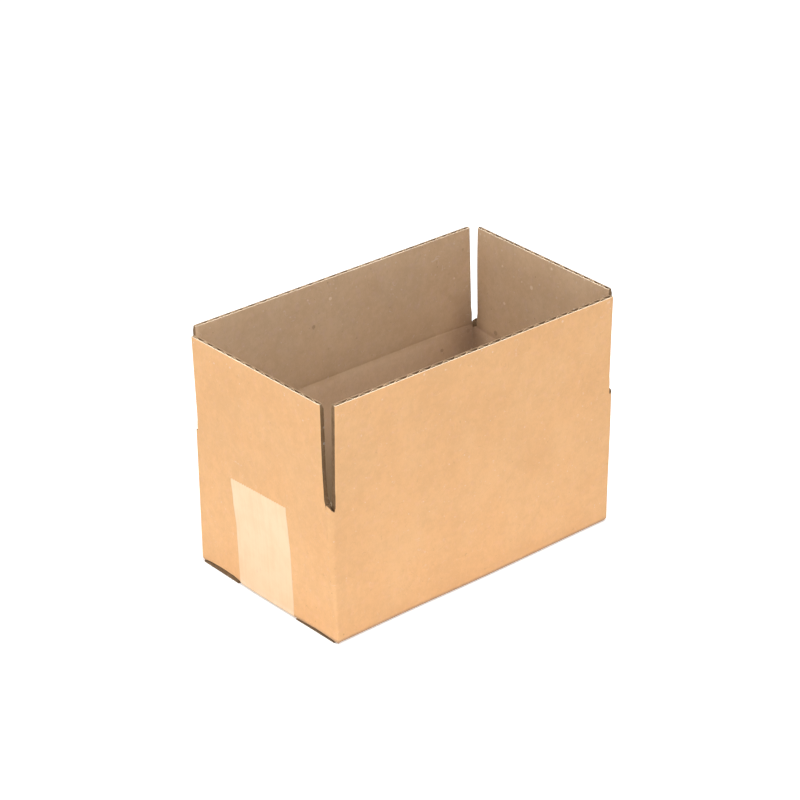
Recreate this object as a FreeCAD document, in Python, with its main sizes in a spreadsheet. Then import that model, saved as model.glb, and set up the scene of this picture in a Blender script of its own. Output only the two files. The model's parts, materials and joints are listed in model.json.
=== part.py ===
import FreeCAD, Part
import Sketcher
import math
import os
import re

# Open corrugated carton with four standing top flaps and a taped bottom.
# Millimetres. X runs along the long walls, Y from the front wall to the back wall, Z up.
# The origin is the middle of the underside. The left wall is at low X, the front wall at low Y.

# Driving sizes
SIZES = [
    ("box_length", 201.5, "outer length, over the two short walls"),
    ("box_width", 118.0, "outer width, over the two long walls"),
    ("long_crease", 84.0, "height of the long flaps' creases above the floor"),
    ("long_flap", 57.8, "length of a long flap, from its crease to its cut edge"),
    ("board", 3.3, "thickness of the corrugated board"),
    ("layer_gap", 0.3, "gap between two boards that lie on each other"),
    ("crease_gap", 0.3, "gap between a flap and the wall along the crease"),
    ("slot_clearance", 0.2, "how far a flap's end clears the inner face beside it"),
    ("slot_drop", 2.2, "how far the four slots end below the long creases"),
    ("corner_radius", 3.3, "outer radius of the four upright corner folds"),
    ("front_lean", 1.5, "outward lean of the front flap, degrees"),
    ("back_lean", 1.7, "outward lean of the back flap, degrees"),
    ("left_lean", 1.4, "outward lean of the left flap, degrees"),
    ("right_lean", 1.5, "outward lean of the right flap, degrees"),
    ("flute_pitch", 7.9, "distance from one wave of the fluting to the next"),
    ("liner", 0.45, "thickness of each flat liner of the board"),
    ("medium", 0.4, "thickness of the wavy sheet between the liners"),
    ("flute_slope", 38.5, "steepest angle of the wavy sheet, degrees"),
    ("crest_radius", 1.4, "radius inside the crest of a wave"),
    ("crushed", 2.5, "height of the crushed board above a flap's bevel, with no open flute"),
    ("fold_radius", 3.0, "outer radius of the long folds at the floor"),
    ("foot_height", 1.6, "height of the short walls' lower fold above the floor"),
    ("foot_radius", 1.6, "outer radius of the short walls' lower fold"),
    ("bottom_inset", 6.0, "how far the outer bottom flaps end inside the short walls' faces"),
    ("seam_gap", 1.0, "gap between the two outer bottom flaps along the seam"),
    ("bottom_short", 58.0, "reach of the inner bottom flaps from the short walls' faces"),
    ("tab_width", 32.0, "width of the glued tab inside the front wall"),
    ("tab_thickness", 2.4, "thickness of the pressed tab"),
    ("tab_slant", 5.0, "how much the tab narrows at its top and at its bottom"),
    ("tab_clearance", 1.2, "gap from the tab to the boards above and below it"),
    ("tape_width", 48.0, "width of the tape"),
    ("tape_thickness", 0.08, "thickness of the tape"),
    ("tape_rise", 63.0, "height of the tape's torn ends above the floor"),
    ("tape_drift", 4.2, "sideways drift of the tape up the left wall"),
    ("tape_bend", 2.5, "outer radius of the tape where it turns up at a short wall"),
    ("tooth_pitch", 2.0, "pitch of the teeth torn into the tape's ends"),
    ("tooth_depth", 0.8, "depth of those teeth"),
]

# Sizes that follow from the driving sizes, written as formulas
HALF_LENGTH = "(box_length / 2)"
HALF_WIDTH = "(box_width / 2)"
SHORT_CREASE = "(long_crease - board - layer_gap)"
SHORT_FLAP = "(long_flap + board + layer_gap)"
SLOT_FLOOR = "(long_crease - slot_drop)"
FLAP_INSET = "(board + slot_clearance)"
INNER_BOTTOM = "(board + layer_gap)"
BEYOND = 5.0

ALIASES = [alias for alias, value, meaning in SIZES]


def make_sheet(doc):
    """The sheet that holds every driving size under its own name."""
    sheet = doc.addObject("Spreadsheet::Sheet", "Sizes")
    for row, (alias, value, meaning) in enumerate(SIZES, start=1):
        sheet.set(f"A{row}", str(value))
        sheet.setAlias(f"A{row}", alias)
        sheet.set(f"B{row}", meaning)
    doc.recompute()
    return sheet


def formula(text):
    """A formula with each size's name turned into its address in the sheet."""
    return re.sub(r"[a-z_]+", lambda m: "Sizes." + m[0] if m[0] in ALIASES else m[0], text)


def plane(body, role):
    """One of the body's own three origin planes."""
    return next(f for f in body.Origin.OriginFeatures if f.Role == role)


def bind_point(sketch, geometry, end, across, up):
    """Holds one end of an edge at the place that two formulas give."""
    for kind, text in (("DistanceX", across), ("DistanceY", up)):
        value = float(sketch.evalExpression(formula(text)))
        index = sketch.addConstraint(Sketcher.Constraint(kind, -1, 1, geometry, end, value))
        sketch.setExpression(f"Constraints[{index}]", formula(text))


def arc_between(start, end, radius, turn):
    """The short arc from start to end, anticlockwise for turn 1 and clockwise for turn -1."""
    chord = end - start
    reach = math.sqrt(max(radius ** 2 - (chord.Length / 2) ** 2, 0.0))
    side = FreeCAD.Vector(-chord.y, chord.x, 0) / chord.Length * turn
    centre = (start + end) / 2 + side * reach
    first, last = (start, end) if turn > 0 else (end, start)
    angles = [math.atan2(p.y - centre.y, p.x - centre.x) for p in (first, last)]
    if angles[1] < angles[0]:
        angles[1] += 2 * math.pi
    circle = Part.Circle(centre, FreeCAD.Vector(0, 0, 1), radius)
    return Part.ArcOfCircle(circle, angles[0], angles[1])


def add_loop(sketch, corners):
    """A closed loop. A corner is (x, y) in formulas, or (x, y, radius, turn) where an arc leaves it."""
    places = []
    for corner in corners:
        values = [float(sketch.evalExpression(formula(text))) for text in corner[:2]]
        places.append(FreeCAD.Vector(values[0], values[1], 0))
    edges = []
    for i, corner in enumerate(corners):
        start, end = places[i], places[(i + 1) % len(places)]
        if len(corner) == 4:
            radius = float(sketch.evalExpression(formula(corner[2])))
            edge = sketch.addGeometry(arc_between(start, end, radius, corner[3]))
            first, last = (1, 2) if corner[3] > 0 else (2, 1)
        else:
            edge = sketch.addGeometry(Part.LineSegment(start, end))
            first, last = 1, 2
        edges.append((edge, first, last))
    for i, corner in enumerate(corners):
        edge, first, last = edges[i]
        before, _, before_last = edges[i - 1]
        sketch.addConstraint(Sketcher.Constraint("Coincident", before, before_last, edge, first))
        bind_point(sketch, edge, first, corner[0], corner[1])
        if len(corner) == 4:
            radius = float(sketch.evalExpression(formula(corner[2])))
            index = sketch.addConstraint(Sketcher.Constraint("Radius", edge, radius))
            sketch.setExpression(f"Constraints[{index}]", formula(corner[2]))


def rectangle(low_x, low_y, high_x, high_y):
    """The four corners of an upright rectangle."""
    return [(low_x, low_y), (high_x, low_y), (high_x, high_y), (low_x, high_y)]


def mirrored(corners):
    """The same loop on the other side of the sketch's vertical axis."""
    turned = []
    for i, corner in enumerate(corners):
        before = corners[i - 1]
        across = f"-({corner[0]})"
        if len(before) == 4:
            turned.append((across, corner[1], before[2], before[3]))
        else:
            turned.append((across, corner[1]))
    return turned[::-1]


def make_sketch(body, name, role, loops, offset="0"):
    """A sketch of closed loops on one of the body's origin planes, moved along its normal."""
    sketch = body.newObject("Sketcher::SketchObject", name)
    sketch.AttachmentSupport = [(plane(body, role), "")]
    sketch.MapMode = "FlatFace"
    sketch.setExpression("AttachmentOffset.Base.z", formula(offset))
    for corners in loops:
        add_loop(sketch, corners)
    return sketch


def pad(body, name, sketch, length, side="One side", backwards=False):
    """Adds the sketch's area, drawn out along its normal."""
    feature = body.newObject("PartDesign::Pad", name)
    feature.Profile = sketch
    feature.SideType = side
    feature.Reversed = backwards
    feature.setExpression("Length", formula(length))
    return feature


def cut(doc, body, name, sketch, length, side="One side", backwards=False):
    """Takes the sketch's area away, and checks that it removed something."""
    doc.recompute()
    volume_before = body.Shape.Volume
    feature = body.newObject("PartDesign::Pocket", name)
    feature.Profile = sketch
    feature.SideType = side
    feature.Reversed = backwards
    feature.setExpression("Length", formula(length))
    doc.recompute()
    if not body.Shape.Volume < volume_before:
        raise RuntimeError(f"{name} removed nothing")
    return feature


# Carton: walls, corner folds, glued tab and bottom flaps, one folded sheet
def rounded_outline():
    """The walls' outer outline, with an arc at each upright corner fold."""
    inner_x = f"({HALF_LENGTH} - corner_radius)"
    inner_y = f"({HALF_WIDTH} - corner_radius)"
    return [
        (f"-{inner_x}", f"-{HALF_WIDTH}"),
        (inner_x, f"-{HALF_WIDTH}", "corner_radius", 1),
        (HALF_LENGTH, f"-{inner_y}"),
        (HALF_LENGTH, inner_y, "corner_radius", 1),
        (inner_x, HALF_WIDTH),
        (f"-{inner_x}", HALF_WIDTH, "corner_radius", 1),
        (f"-{HALF_LENGTH}", inner_y),
        (f"-{HALF_LENGTH}", f"-{inner_y}", "corner_radius", 1),
    ]


def add_walls(body):
    """The four walls as one ring from the floor to the long creases."""
    room_x = f"({HALF_LENGTH} - board)"
    room_y = f"({HALF_WIDTH} - board)"
    room = rectangle(f"-{room_x}", f"-{room_y}", room_x, room_y)
    sketch = make_sketch(body, "WallPlan", "XY_Plane", [rounded_outline(), room])
    pad(body, "Walls", sketch, "long_crease")


def raise_short_folds(doc, body):
    """Lifts the short walls' lower folds off the floor and rounds them."""
    out = f"(-{HALF_LENGTH} - {BEYOND})"
    low = f"(-{BEYOND})"
    side = [
        (out, low),
        (f"-{HALF_LENGTH} + bottom_inset", low),
        (f"-{HALF_LENGTH} + bottom_inset", "foot_height"),
        (f"-{HALF_LENGTH} + foot_radius", "foot_height", "foot_radius", -1),
        (f"-{HALF_LENGTH}", "foot_height + foot_radius"),
        (out, "foot_height + foot_radius"),
    ]
    sketch = make_sketch(body, "ShortFoldSection", "XZ_Plane", [side, mirrored(side)])
    cut(doc, body, "ShortFolds", sketch, f"box_width + {BEYOND}", side="Symmetric")


def add_bottom_flaps(body):
    """Two outer flaps along the seam and, on top of them, two inner flaps from the short walls."""
    end = f"({HALF_LENGTH} - bottom_inset)"
    front = rectangle(f"-{end}", f"-{HALF_WIDTH} + board / 2", end, "-seam_gap / 2")
    back = rectangle(f"-{end}", "seam_gap / 2", end, f"{HALF_WIDTH} - board / 2")
    outer = make_sketch(body, "OuterFlapPlan", "XY_Plane", [front, back])
    pad(body, "OuterBottomFlaps", outer, "board")
    half = f"({HALF_WIDTH} - {FLAP_INSET})"
    left = rectangle(f"-{HALF_LENGTH} + board / 2", f"-{half}", f"-{HALF_LENGTH} + bottom_short", half)
    inner = make_sketch(body, "InnerFlapPlan", "XY_Plane", [left, mirrored(left)], INNER_BOTTOM)
    pad(body, "InnerBottomFlaps", inner, "board")


def round_long_folds(doc, body):
    """Rounds the long folds at the floor."""
    out = f"(-{HALF_WIDTH} - {BEYOND})"
    low = f"(-{BEYOND})"
    side = [
        (out, low),
        (f"-{HALF_WIDTH} + fold_radius", low),
        (f"-{HALF_WIDTH} + fold_radius", "0", "fold_radius", -1),
        (f"-{HALF_WIDTH}", "fold_radius"),
        (out, "fold_radius"),
    ]
    sketch = make_sketch(body, "LongFoldSection", "YZ_Plane", [side, mirrored(side)])
    cut(doc, body, "LongFolds", sketch, f"box_length + {BEYOND}", side="Symmetric")


def bevel_profile(face, crease):
    """What is cut from the top of a wall: a bevel that falls inwards from its crease line."""
    over = f"(long_crease + {BEYOND})"
    return [
        (f"-{face} - {BEYOND}", crease),
        (f"-{face}", crease),
        (f"-{face} + board", f"{crease} - board"),
        (f"-{face} + board + {BEYOND}", f"{crease} - board"),
        (f"-{face} + board + {BEYOND}", over),
        (f"-{face} - {BEYOND}", over),
    ]


def cut_wall_tops(doc, body):
    """Bevels the wall tops inside the creases, and ends the corner slots."""
    short = bevel_profile(HALF_LENGTH, SHORT_CREASE)
    sketch = make_sketch(body, "ShortTopSection", "XZ_Plane", [short, mirrored(short)])
    cut(doc, body, "ShortWallTops", sketch, "box_width - 2 * board", side="Symmetric")
    long = bevel_profile(HALF_WIDTH, "long_crease")
    sketch = make_sketch(body, "LongTopSection", "YZ_Plane", [long, mirrored(long)])
    cut(doc, body, "LongWallTops", sketch, "box_length - 2 * board", side="Symmetric")
    left = [
        (f"-{HALF_LENGTH} - {BEYOND}", f"-{HALF_WIDTH} - {BEYOND}"),
        (f"-{HALF_LENGTH} + board", f"-{HALF_WIDTH} - {BEYOND}"),
        (f"-{HALF_LENGTH} + board", f"{HALF_WIDTH} + {BEYOND}"),
        (f"-{HALF_LENGTH} - {BEYOND}", f"{HALF_WIDTH} + {BEYOND}"),
    ]
    sketch = make_sketch(body, "SlotPlan", "XY_Plane", [left, mirrored(left)], SLOT_FLOOR)
    cut(doc, body, "CornerSlots", sketch, f"slot_drop + {BEYOND}", backwards=True)


def add_glued_tab(body):
    """The maker's joint: a pressed tab from the right wall, glued inside the front wall."""
    root = f"{HALF_LENGTH} - board"
    low = f"({INNER_BOTTOM} + board + tab_clearance)"
    high = f"({SHORT_CREASE} - board - tab_clearance)"
    tab = [
        (root, low),
        (root, high),
        (f"{root} - tab_width", f"{high} - tab_slant"),
        (f"{root} - tab_width", f"{low} + tab_slant"),
    ]
    sketch = make_sketch(body, "TabShape", "XZ_Plane", [tab], f"{HALF_WIDTH} - board")
    pad(body, "GluedTab", sketch, "tab_thickness", backwards=True)


def press_tape_bed(doc, body):
    """The shallow bed that the tape is pressed into along the seam."""
    half = "(tape_width / 2)"
    bed = rectangle(f"-{HALF_LENGTH}", f"-{half}", HALF_LENGTH, half)
    sketch = make_sketch(body, "TapeBedPlan", "XY_Plane", [bed])
    cut(doc, body, "TapeBed", sketch, "tape_thickness", backwards=True)


def make_carton(doc):
    body = doc.addObject("PartDesign::Body", "BoxBody")
    body.Label = "box_body"
    add_walls(body)
    raise_short_folds(doc, body)
    add_bottom_flaps(body)
    round_long_folds(doc, body)
    cut_wall_tops(doc, body)
    add_glued_tab(body)
    press_tape_bed(doc, body)
    return body


# Top flaps: one board each, beveled at the crease, with its flutes open along the top edge
def flute_void(centre, wall, inward):
    """The hollow under one crest of the wavy sheet. It opens against the liner at height wall."""
    height = "(board - 2 * liner - medium)"
    crest_half = "(crest_radius * sin(flute_slope * 1 deg))"
    crest_drop = "(crest_radius * (1 - cos(flute_slope * 1 deg)))"
    base_half = f"({crest_half} + ({height} - {crest_drop}) / tan(flute_slope * 1 deg))"
    shoulder = f"{wall} + ({inward}) * ({height} - {crest_drop})"
    return [
        (f"{centre} - {base_half}", wall),
        (f"{centre} + {base_half}", wall),
        (f"{centre} + {crest_half}", shoulder, "crest_radius", inward),
        (f"{centre} - {crest_half}", shoulder),
    ]


def make_flap(doc, label, span, length):
    """A flap stands on its crease line along X, with its outer face at Y 0 and its inside at Y board."""
    body = doc.addObject("PartDesign::Body", label.title().replace("_", ""))
    body.Label = label
    section = [
        ("0", "crease_gap"),
        ("board", "crease_gap + board"),
        ("board", length),
        ("0", length),
    ]
    sketch = make_sketch(body, "Section", "YZ_Plane", [section])
    pad(body, "Board", sketch, span, side="Symmetric")
    waves = f"floor(({span} - liner) / flute_pitch - 0.5)"
    first = f"(-{waves} * flute_pitch / 2)"
    outer = flute_void(f"({first} + flute_pitch / 4)", "liner", 1)
    inner = flute_void(f"({first} + 3 * flute_pitch / 4)", "(board - liner)", -1)
    flutes = make_sketch(body, "FluteSection", "XY_Plane", [outer, inner], length)
    depth = f"{length} - crease_gap - board - crushed"
    pocket = cut(doc, body, "Flute", flutes, depth)
    pattern = body.newObject("PartDesign::LinearPattern", "Flutes")
    pattern.Originals = [pocket]
    pattern.Direction = (flutes, ["H_Axis"])
    pattern.setExpression("Length", formula(f"({waves} - 1) * flute_pitch"))
    pattern.setExpression("Occurrences", formula(waves))
    body.Tip = pattern
    return body


def stand_flap(sheet, body, turn, offset_x, offset_y, height, lean):
    """Puts a flap on its wall: turned to that wall, then leaning outwards by its angle."""
    values = [float(sheet.evalExpression(text)) for text in (offset_x, offset_y, height, lean)]
    place = FreeCAD.Vector(values[0], values[1], values[2])
    to_wall = FreeCAD.Rotation(FreeCAD.Vector(0, 0, 1), turn)
    outwards = FreeCAD.Rotation(FreeCAD.Vector(1, 0, 0), values[3])
    body.Placement = FreeCAD.Placement(place, to_wall * outwards)


def make_flaps(doc, sheet):
    long_span = f"(box_length - 2 * {FLAP_INSET})"
    short_span = f"(box_width - 2 * {FLAP_INSET})"
    walls = [
        ("front_flap", long_span, "long_flap", 0, "0", f"-{HALF_WIDTH}", "long_crease", "front_lean"),
        ("back_flap", long_span, "long_flap", 180, "0", HALF_WIDTH, "long_crease", "back_lean"),
        ("left_flap", short_span, SHORT_FLAP, -90, f"-{HALF_LENGTH}", "0", SHORT_CREASE, "left_lean"),
        ("right_flap", short_span, SHORT_FLAP, 90, HALF_LENGTH, "0", SHORT_CREASE, "right_lean"),
    ]
    flaps = []
    for label, span, length, turn, offset_x, offset_y, height, lean in walls:
        body = make_flap(doc, label, span, length)
        stand_flap(sheet, body, turn, offset_x, offset_y, height, lean)
        flaps.append(body)
    return flaps


# Tape: one strip under the seam and up both short walls, with torn ends
def torn_end(sheet, drift):
    """One upright end of the tape: a leaning strip whose top edge is a row of torn teeth."""
    names = ("tape_width", "tape_rise", "tape_bend", "tooth_pitch", "tooth_depth")
    width, rise, bend, pitch, depth = [sheet.get(name) for name in names]
    teeth = max(1, round(width / pitch))
    points = [FreeCAD.Vector(-width / 2, bend, 0), FreeCAD.Vector(width / 2, bend, 0)]
    for i in range(2 * teeth + 1):
        across = width / 2 - i * width / (2 * teeth) + drift
        down = depth if i % 2 == 0 else 0.0
        points.append(FreeCAD.Vector(across, rise - down, 0))
    return points


def add_torn_end(body, sheet, name, drift, face, backwards):
    """Pads one upright end of the tape onto the outer face of a short wall."""
    sketch = body.newObject("Sketcher::SketchObject", name + "Shape")
    sketch.AttachmentSupport = [(plane(body, "YZ_Plane"), "")]
    sketch.MapMode = "FlatFace"
    sketch.setExpression("AttachmentOffset.Base.z", formula(face))
    points = torn_end(sheet, drift)
    for i, start in enumerate(points):
        sketch.addGeometry(Part.LineSegment(start, points[(i + 1) % len(points)]))
        sketch.addConstraint(Sketcher.Constraint("Block", i))
    pad(body, name, sketch, "tape_thickness", backwards=backwards)


def make_tape(doc, sheet):
    body = doc.addObject("PartDesign::Body", "BottomTape")
    body.Label = "bottom_tape"
    outer = f"({HALF_LENGTH} + tape_thickness)"
    strip = [
        (f"-{outer} + tape_bend", "0"),
        (f"{outer} - tape_bend", "0", "tape_bend", 1),
        (outer, "tape_bend"),
        (HALF_LENGTH, "tape_bend", "tape_bend - tape_thickness", -1),
        (f"{outer} - tape_bend", "tape_thickness"),
        (f"-{outer} + tape_bend", "tape_thickness", "tape_bend - tape_thickness", -1),
        (f"-{HALF_LENGTH}", "tape_bend"),
        (f"-{outer}", "tape_bend", "tape_bend", 1),
    ]
    sketch = make_sketch(body, "StripSection", "XZ_Plane", [strip])
    pad(body, "Strip", sketch, "tape_width", side="Symmetric")
    add_torn_end(body, sheet, "LeftEnd", sheet.get("tape_drift"), f"-{HALF_LENGTH}", True)
    add_torn_end(body, sheet, "RightEnd", 0.0, HALF_LENGTH, False)
    return body


def check_and_write(doc, bodies):
    """Refuses anything that failed, then writes each piece under its own name."""
    for thing in doc.Objects:
        if "Invalid" in thing.State or "Error" in thing.State:
            raise RuntimeError(f"{thing.Name} failed: {thing.State}")
    for body in bodies:
        shape = body.Shape
        if shape.isNull() or not shape.isValid() or len(shape.Solids) != 1:
            raise RuntimeError(f"{body.Label} is not one valid solid")
    for body in bodies:
        body.Shape.exportStep(f"parts/{body.Label}.step")
        box = body.Shape.BoundBox
        print(f"{body.Label}: volume {body.Shape.Volume:.0f} mm3, faces {len(body.Shape.Faces)},"
              f" x {box.XMin:.2f} to {box.XMax:.2f}, y {box.YMin:.2f} to {box.YMax:.2f},"
              f" z {box.ZMin:.2f} to {box.ZMax:.2f}")


os.makedirs("parts", exist_ok=True)
document = FreeCAD.newDocument("open_carton")
sizes = make_sheet(document)
pieces = [make_carton(document)] + make_flaps(document, sizes) + [make_tape(document, sizes)]
document.recompute()
check_and_write(document, pieces)
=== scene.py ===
# %% [markdown]
# An open corrugated carton, dressed for a close look. The carton is one sheet of corrugated board:
# two flat papers, the liners, with a wavy paper between them. The sheet is folded into four walls,
# closed with tape at the bottom, and its four top flaps stand up.
# A box of six plain slabs would do from far away, but up close the cut edges give it away. So this
# lesson rebuilds the sheet with its real layers, and every cut edge shows its waves.

# %% Load the fixed frame
import json
import math

import bmesh
import bpy
from mathutils import Matrix, Vector, noise


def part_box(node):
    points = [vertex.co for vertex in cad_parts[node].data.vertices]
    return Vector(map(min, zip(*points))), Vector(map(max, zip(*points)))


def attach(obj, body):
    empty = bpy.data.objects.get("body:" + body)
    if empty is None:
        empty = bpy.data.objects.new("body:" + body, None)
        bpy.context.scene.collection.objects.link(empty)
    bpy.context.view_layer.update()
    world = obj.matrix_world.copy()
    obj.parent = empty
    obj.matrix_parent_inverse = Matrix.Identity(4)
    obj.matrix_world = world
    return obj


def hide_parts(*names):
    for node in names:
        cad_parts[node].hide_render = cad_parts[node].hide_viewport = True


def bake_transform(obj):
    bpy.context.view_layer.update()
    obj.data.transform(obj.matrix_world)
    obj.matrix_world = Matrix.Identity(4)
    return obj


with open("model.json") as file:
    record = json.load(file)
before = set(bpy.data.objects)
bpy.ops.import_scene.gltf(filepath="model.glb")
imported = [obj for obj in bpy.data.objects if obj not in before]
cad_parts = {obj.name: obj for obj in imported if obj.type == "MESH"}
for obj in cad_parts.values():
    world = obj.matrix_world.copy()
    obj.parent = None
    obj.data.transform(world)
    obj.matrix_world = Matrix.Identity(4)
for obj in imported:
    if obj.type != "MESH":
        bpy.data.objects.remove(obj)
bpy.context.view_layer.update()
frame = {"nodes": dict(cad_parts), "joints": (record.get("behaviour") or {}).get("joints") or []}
print("frame nodes:", ", ".join(sorted(frame["nodes"])))

# %% [markdown]
# Sizes. The walls' faces and the heights of the creases are read from the frame, so the dressed
# carton can't drift away from it. The board's own make-up, its folds and the leans and lengths of the
# flaps are written once here, in millimetres and degrees, as they are on the plain carton.

# %% Sizes in millimetres
MM = 0.001
HALF_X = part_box("box_body")[1].x / MM
HALF_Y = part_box("box_body")[1].y / MM
BOARD = 3.3
LINER = 0.45
MEDIUM = 0.4  # the wavy paper's thickness
PITCH = 7.9  # from one wave to the next
CORNER = 3.3  # outer radius of the upright corner folds
INSET = 3.5  # how far a flap's ends stop inside the corners
LONG_FOLD = 3.0  # outer radius under a long wall
SHORT_FOLD = 1.6  # outer radius under a short wall
INNER_FOLD = 0.5  # inner radius of both
FLAP_BED = 3.62  # underside of the inner bottom flaps above the floor
FLUTES_FROM = 6.1  # height above a crease from which a flap's waves are open
SLOT_FROM = 81.8  # height at which the slots begin
PINCHED = 1.3  # how far in from a flap's ends its board is pinched
CREASE = {}  # height of each crease, by side
for joint in frame["joints"]:
    CREASE[joint["child"].split("_")[0]] = joint["pos_m"][2] / MM
LEAN = {"front": 1.5, "back": 1.7, "left": 1.4, "right": 1.5}
FLAP = {"front": 57.8, "back": 57.8, "left": 61.4, "right": 61.4}
REACH = {"front": HALF_X, "back": HALF_X, "left": HALF_Y, "right": HALF_Y}
print("outer size", round(2 * HALF_X, 2), "by", round(2 * HALF_Y, 2), "mm")
print("creases at", {side: round(height, 2) for side, height in CREASE.items()}, "mm")

# %% [markdown]
# Each wall is worked out flat, as a maker lays out the sheet: `across` runs along the wall, `deep`
# goes inwards from its outer face, and `up` is the height. One function then stands the point on
# its own side of the carton, so the same code makes opposite walls. It also racks the carton a
# little near the floor, because a used carton never stands quite square.

# %% From a wall's own measures to the carton
def ease(value):
    """0 to 1 with soft ends."""
    value = max(0.0, min(1.0, value))
    return value * value * (3 - 2 * value)


def between(low, high, share):
    return low + (high - low) * share


def along(points, value):
    """A soft line through a few (position, height) pairs, read at one position."""
    if value <= points[0][0]:
        return points[0][1]
    for (start, low), (end, high) in zip(points, points[1:]):
        if value <= end:
            return between(low, high, ease((value - start) / (end - start)))
    return points[-1][1]


def stand(side, across, deep, up):
    """A point of one wall, given in its own millimetres, as a place on the carton in metres."""
    if side == "front":
        place = (across, -HALF_Y + deep, up)
    elif side == "back":
        place = (-across, HALF_Y - deep, up)
    elif side == "left":
        place = (-HALF_X + deep, -across, up)
    else:
        place = (HALF_X - deep, across, up)
    return racked(Vector(place)) * MM


def racked(spot):
    """The carton isn't quite true: at the floor its front corners lean and its front wall bellies out."""
    low_left = ease(1 - (spot.x + HALF_X) / 75) * ease(1 - (spot.y + HALF_Y) / 75) * ease(1 - spot.z / 62)
    low_right = ease(1 - (HALF_X - spot.x) / 75) * ease(1 - (spot.y + HALF_Y) / 75) * ease(1 - spot.z / 78)
    belly = ease(1 - abs(spot.x) / HALF_X) * ease(1 - (spot.y + HALF_Y) / 50) * ease(1 - spot.z / 45)
    return spot + Vector((1.5 * low_left - 1.4 * low_right, -1.4 * low_left - 1.3 * belly, 0))


print("front wall's middle:", stand("front", 0, 0, 40))

# %% [markdown]
# The board is built from a stack of cells: outer liner, core and inner liner, row by row along the
# sheet. A cell that isn't there, such as the core between the liners of a flap, or a slot between two
# flaps, leaves a hole. A plane with Solidify would be quicker, but it has no layers. Here only faces
# between a full cell and an empty one are made, so the mesh always comes out closed, with every face
# pointing outwards.

# %% A closed board from cells
# Kinds of face, one paper each: the faces in the core's hollows get a paper of painted shade
SKIN, LINING, BRIGHT, INSIDE, PRESSED_PAINTED_SHADE, CUT_PAINTED_SHADE = range(6)
# the cut ends' paper: dark partly from their open waves, and partly painted shade
END_RIM = (CUT_PAINTED_SHADE, CUT_PAINTED_SHADE, CUT_PAINTED_SHADE)


def board_mesh(name, rows, columns, full, place, top_rim=(BRIGHT, INSIDE, PRESSED_PAINTED_SHADE), shaded=None):
    """A mesh around every full cell. A layer k lies between depths k and k + 1, with 3 layers in all."""

    def rim(k, j):
        return END_RIM[k] if shaded and shaded(j) else top_rim[k]

    index, points, faces, kinds = {}, [], [], []

    def corner(k, i, j):
        key = (k, i, j)
        if key not in index:
            index[key] = len(points)
            points.append(place(k, i, j))
        return index[key]

    def has(k, i, j):
        inside = 0 <= k < 3 and 0 <= i < rows - 1 and 0 <= j < columns - 1
        return inside and full(k, i, j)

    for k in range(3):
        for i in range(rows - 1):
            for j in range(columns - 1):
                if not has(k, i, j):
                    continue
                deep, row, col = k + 1, i + 1, j + 1
                if not has(k - 1, i, j):
                    faces.append([(k, i, j), (k, i, col), (k, row, col), (k, row, j)])
                    kinds.append(SKIN if k == 0 else INSIDE)
                if not has(k + 1, i, j):
                    faces.append([(deep, i, j), (deep, row, j), (deep, row, col), (deep, i, col)])
                    kinds.append(LINING if k == 2 else INSIDE)
                if not has(k, i, j - 1):
                    faces.append([(k, i, j), (k, row, j), (deep, row, j), (deep, i, j)])
                    kinds.append(END_RIM[k])
                if not has(k, i, j + 1):
                    faces.append([(k, i, col), (deep, i, col), (deep, row, col), (k, row, col)])
                    kinds.append(END_RIM[k])
                if not has(k, i - 1, j):
                    faces.append([(k, i, j), (deep, i, j), (deep, i, col), (k, i, col)])
                    kinds.append(rim(k, j))
                if not has(k, i + 1, j):
                    faces.append([(k, row, j), (k, row, col), (deep, row, col), (deep, row, j)])
                    kinds.append(rim(k, j))
    loops = [[corner(*key) for key in face] for face in faces]
    mesh = bpy.data.meshes.new(name)
    mesh.from_pydata(points, [], loops)
    mesh.polygons.foreach_set("material_index", kinds)
    spot = mesh.attributes.new("sheet_spot", "FLOAT_VECTOR", "POINT")
    spot.data.foreach_set("vector", [value for point in points for value in point])
    mesh.validate()
    return mesh


def soften(mesh, limit=38.0):
    """Smooth shading, with each edge sharper than the limit left crisp."""
    shape = bmesh.new()
    shape.from_mesh(mesh)
    for face in shape.faces:
        face.smooth = True
    for edge in shape.edges:
        if len(edge.link_faces) == 2:
            same = edge.link_faces[0].material_index == edge.link_faces[1].material_index
            edge.smooth = same and edge.calc_face_angle(0.0) < math.radians(limit)
    shape.to_mesh(mesh)
    shape.free()


def show(mesh):
    """Links a finished mesh to the scene as a piece at the origin."""
    piece = bpy.data.objects.new(mesh.name, mesh)
    bpy.context.scene.collection.objects.link(piece)
    return piece


def soft_piece(mesh, limit=38.0):
    soften(mesh, limit)
    return show(mesh)


print("a cell's three layers: outer liner, core, inner liner")

# %% [markdown]
# Real board isn't flat. Its walls bow a little, and a bump map can't show that on an outline, so
# smooth noise moves the points themselves. The bow fades out towards the folds, so that walls still
# meet there, and the flaps bend far less, so that they can still pass each other.
# Inside, each crease is a line that a wheel pressed into the board. It is deepest along the line and
# fades away above and below. The short walls' lower folds spring up a little beside the tape.

# %% Bow, pressed creases and feet
def bow(side, across, up):
    """How far a wall's skin moves outwards, in millimetres."""
    reach = REACH[side] - 8
    fade = ease((reach - abs(across)) / 25) * ease((up - 6) / 18) * ease((CREASE[side] - 3 - up) / 18)
    seed = {"front": 3.1, "back": 11.7, "left": 23.9, "right": 37.3}[side]
    wave = noise.noise(Vector((across * 0.018, up * 0.03, seed)))
    return fade * (0.16 + 0.5 * wave)


def flap_bow(side, across, high):
    """The same for a standing flap, which stays within a tenth of a millimetre."""
    seed = {"front": 5.3, "back": 15.1, "left": 27.7, "right": 41.9}[side]
    fade = ease((high - 4) / 12)
    return 0.1 * fade * noise.noise(Vector((across * 0.03, high * 0.04, seed)))


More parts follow.
